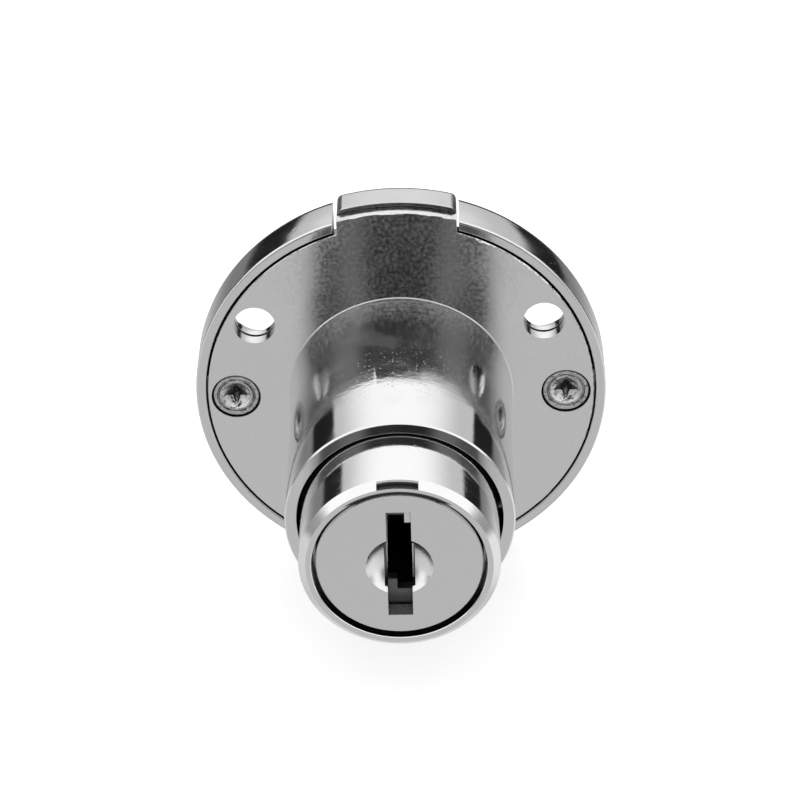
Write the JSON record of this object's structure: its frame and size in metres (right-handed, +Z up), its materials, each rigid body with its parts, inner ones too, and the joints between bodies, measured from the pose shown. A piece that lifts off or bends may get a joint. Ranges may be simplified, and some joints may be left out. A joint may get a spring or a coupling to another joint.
{
  "type": "round rim lock with push-in cylinder",
  "caption": "Round furniture rim lock: a push-in keyed piston in a barrel lifts a flat bolt out of a riveted round casing.",
  "frame": {"origin": "on the barrel's axis, in the front face of the flange, which sits against the panel's back", "axes": "+Z up, the way the bolt comes out; -Y forward along the barrel, towards the key; +X to the right seen from the key side"},
  "size_m": [0.042, 0.0367, 0.0426],
  "materials": {
    "bright_casting": "plated zinc casting, bright barrel and satin flange",
    "bright_casing": "plated, bright with casting ripple",
    "bright_bolt": "plated, satin top",
    "bright_piston": "plated, polished",
    "bright_plug": "plated, fine satin face",
    "rivet_metal": "peened, rough",
    "dark_steel": "ground steel",
    "spring_steel": "drawn spring wire",
    "wafer_steel": "stamped, dull and oily"
  },
  "bodies": {
    "case": {"lock_body": "bright_casting", "rim_casing": "bright_casing", "casing_rivets": "rivet_metal", "piston_stop_pin": "dark_steel", "return_spring": "spring_steel"},
    "bolt": {"dead_bolt": "bright_bolt"},
    "piston": {"push_piston": "bright_piston", "plug_retaining_pin": "dark_steel", "stud_spring": "spring_steel"},
    "stud": {"lock_stud": "dark_steel"},
    "plug": {"key_plug": "bright_plug", "crank_pin": "dark_steel", "wafer_spring_1": "spring_steel", "wafer_spring_2": "spring_steel", "wafer_spring_3": "spring_steel", "wafer_spring_4": "spring_steel", "wafer_spring_5": "spring_steel"},
    "wafer_1": {"wafer_1": "wafer_steel"},
    "wafer_2": {"wafer_2": "wafer_steel"},
    "wafer_3": {"wafer_3": "wafer_steel"},
    "wafer_4": {"wafer_4": "wafer_steel"},
    "wafer_5": {"wafer_5": "wafer_steel"}
  },
  "joints": [
    {"name": "push", "type": "slide", "parent": "case", "child": "piston", "axis": [0, 1, 0], "range_m": [0, 0.006], "stiffness_N_per_m": 400, "springref_m": -0.006, "deforming": ["return_spring"]},
    {"name": "bolt_throw", "type": "slide", "parent": "case", "child": "bolt", "axis": [0, 0, 1], "range_m": [0, 0.006]},
    {"name": "key_turn", "type": "hinge", "parent": "piston", "child": "plug", "pos_m": [0, -0.0234, 0.00025], "axis": [0, 1, 0], "range_deg": [0, 90]},
    {"name": "stud_throw", "type": "slide", "parent": "piston", "child": "stud", "axis": [0, 0, -1], "range_m": [0, 0.0013], "deforming": ["stud_spring"]},
    {"name": "wafer_lift_1", "type": "slide", "parent": "plug", "child": "wafer_1", "axis": [0, 0, 1], "range_m": [0, 0.0007], "stiffness_N_per_m": 60, "deforming": ["wafer_spring_1"]},
    {"name": "wafer_lift_2", "type": "slide", "parent": "plug", "child": "wafer_2", "axis": [0, 0, 1], "range_m": [0, 0.0007], "stiffness_N_per_m": 60, "deforming": ["wafer_spring_2"]},
    {"name": "wafer_lift_3", "type": "slide", "parent": "plug", "child": "wafer_3", "axis": [0, 0, 1], "range_m": [0, 0.0007], "stiffness_N_per_m": 60, "deforming": ["wafer_spring_3"]},
    {"name": "wafer_lift_4", "type": "slide", "parent": "plug", "child": "wafer_4", "axis": [0, 0, 1], "range_m": [0, 0.0007], "stiffness_N_per_m": 60, "deforming": ["wafer_spring_4"]},
    {"name": "wafer_lift_5", "type": "slide", "parent": "plug", "child": "wafer_5", "axis": [0, 0, 1], "range_m": [0, 0.0007], "stiffness_N_per_m": 60, "deforming": ["wafer_spring_5"]}
  ],
  "couplings": [
    {"joint": "bolt_throw", "follows": "push", "ratio": 1},
    {"joint": "key_turn", "follows": "stud_throw", "rad_per_m": 1208.3}
  ]
}
